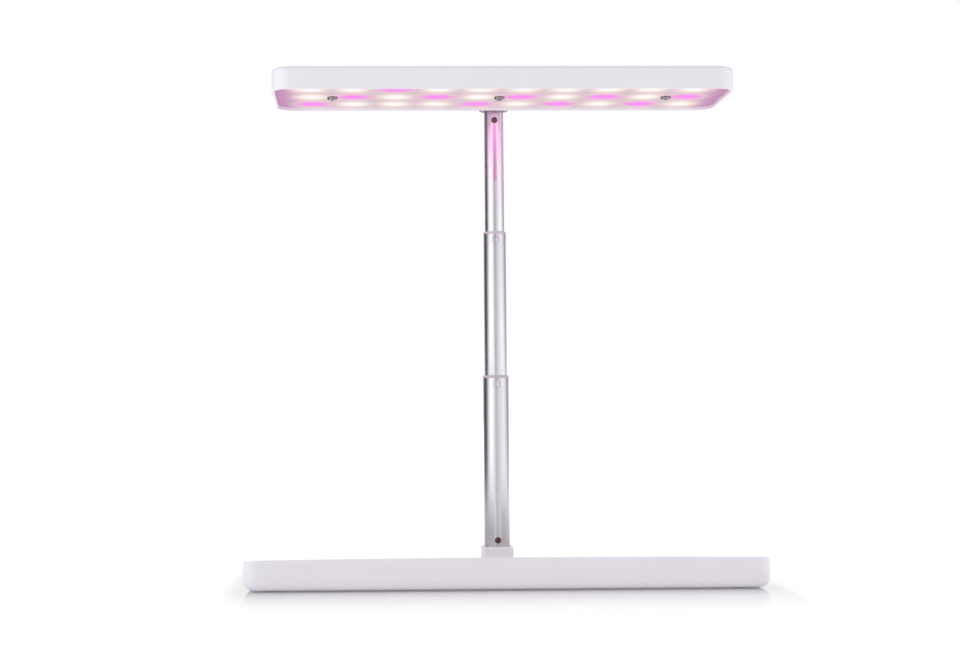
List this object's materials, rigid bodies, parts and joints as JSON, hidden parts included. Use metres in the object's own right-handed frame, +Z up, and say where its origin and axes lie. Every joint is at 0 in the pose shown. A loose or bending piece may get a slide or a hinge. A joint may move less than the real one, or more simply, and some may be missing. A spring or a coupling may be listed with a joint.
{
  "type": "countertop hydroponic garden",
  "caption": "Shallow water tray with lift-out growing grids and a telescopic metal pole that carries a level lamp head with a lit diffuser.",
  "frame": {"origin": "on the table under the centre of the water tray, level with the bottom of the feet", "axes": "+X to the right seen from the front, +Y to the back where the pole stands, +Z up"},
  "size_m": [0.478, 0.16, 0.4769],
  "materials": {
    "white_plastic": "satin, finely textured",
    "grid_plastic": "matt",
    "clear_plastic": "frosted",
    "bush_plastic": "matt",
    "pole_aluminium": "satin anodised",
    "bracket_metal": "satin dark grey",
    "dark_screw": "dark, burnished",
    "bright_screw": "polished",
    "spring_steel": "bright",
    "rubber": "matt",
    "board_green": "solder mask",
    "board_white": "solder mask",
    "led_white": "phosphor",
    "led_pink": "phosphor",
    "heat_aluminium": "milled",
    "dark_plastic": "matt",
    "lead_sleeve": "gloss"
  },
  "bodies": {
    "base": {"base_tray": "white_plastic", "rubber_feet": "rubber", "pole_socket": "white_plastic", "socket_screws": "spring_steel", "lower_tube": "pole_aluminium", "lower_fixing_screw": "dark_screw", "lower_guide_bush": "bush_plastic"},
    "left_grid": {"growing_grid_left": "grid_plastic"},
    "right_grid": {"growing_grid_right": "grid_plastic"},
    "middle_section": {"middle_tube": "pole_aluminium", "middle_end_sleeve": "bush_plastic", "lower_snap_spring": "spring_steel", "upper_guide_bush": "bush_plastic"},
    "lower_button": {"lower_snap_button": "spring_steel"},
    "lamp": {"upper_tube": "pole_aluminium", "upper_end_sleeve": "bush_plastic", "upper_snap_spring": "spring_steel", "upper_fixing_screw": "dark_screw", "head_bracket": "bracket_metal", "bracket_screws": "spring_steel", "head_housing": "white_plastic", "heat_spreader": "heat_aluminium", "led_board": "board_white", "white_leds": "led_white", "pink_leds": "led_pink", "diffuser": "clear_plastic", "diffuser_spacers": "grid_plastic", "diffuser_screws": "bright_screw", "driver_board": "board_green", "board_screws": "spring_steel", "button_board": "board_green", "dc_inlet": "dark_plastic", "inlet_leads": "lead_sleeve", "led_leads": "lead_sleeve"},
    "upper_button": {"upper_snap_button": "spring_steel"},
    "switch_button": {"power_button": "grid_plastic"}
  },
  "joints": [
    {"name": "middle_slide", "type": "slide", "parent": "base", "child": "middle_section", "axis": [0, 0, 1], "range_m": [-0.12, 0]},
    {"name": "upper_slide", "type": "slide", "parent": "middle_section", "child": "lamp", "axis": [0, 0, 1], "range_m": [-0.105, 0]},
    {"name": "lower_button_press", "type": "slide", "parent": "middle_section", "child": "lower_button", "axis": [0, 1, 0], "range_m": [0, 0.002], "stiffness_N_per_m": 600},
    {"name": "upper_button_press", "type": "slide", "parent": "lamp", "child": "upper_button", "axis": [0, 1, 0], "range_m": [0, 0.002], "stiffness_N_per_m": 600},
    {"name": "power_button_press", "type": "slide", "parent": "lamp", "child": "switch_button", "axis": [0, 0, -1], "range_m": [0, 0.0008], "stiffness_N_per_m": 900, "springref_m": -0.0002},
    {"name": "left_grid_lift", "type": "slide", "parent": "base", "child": "left_grid", "axis": [0, 0, 1], "range_m": [0, 0.06]},
    {"name": "right_grid_lift", "type": "slide", "parent": "base", "child": "right_grid", "axis": [0, 0, 1], "range_m": [0, 0.06]}
  ]
}
